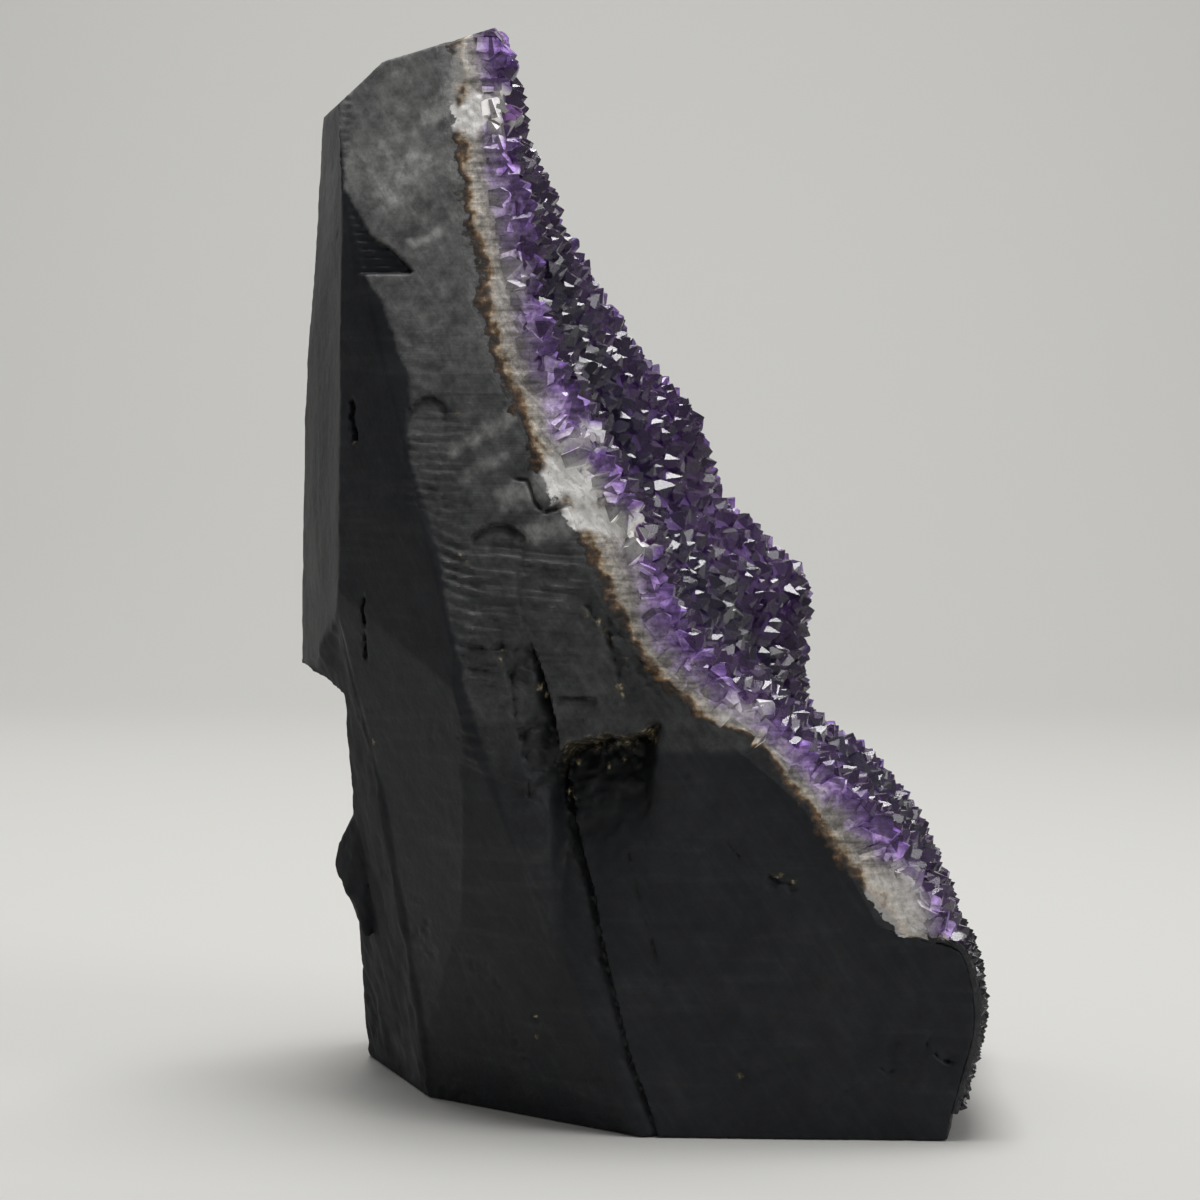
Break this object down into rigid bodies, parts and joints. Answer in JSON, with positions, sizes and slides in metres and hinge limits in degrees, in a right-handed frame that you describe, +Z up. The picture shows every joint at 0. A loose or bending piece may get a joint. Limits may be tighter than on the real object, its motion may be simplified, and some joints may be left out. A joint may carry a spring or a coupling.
{
  "type": "amethyst geode",
  "caption": "Free-standing cut section of an amethyst geode: dark ground rock, a pale quartz rind and a leaning face of purple crystal points, on a flat sawn base.",
  "frame": {"origin": "middle of the stone's outline, in the plane of the flat sawn base it stands on", "axes": "+Z up along the height; the crystal face looks towards -Y and leans back; the cut and polished rim seen from the side is on -X"},
  "size_m": [0.1506, 0.2054, 0.299],
  "materials": {
    "black_coated_rock": "matte black coating over ground basalt, with tool marks",
    "pale_quartz": "polished where cut, milky",
    "amethyst": "glossy natural crystal faces"
  },
  "bodies": {
    "root": {"basalt_rock": "black_coated_rock", "quartz_rind": "pale_quartz", "amethyst_crust": "amethyst"}
  },
  "joints": []
}
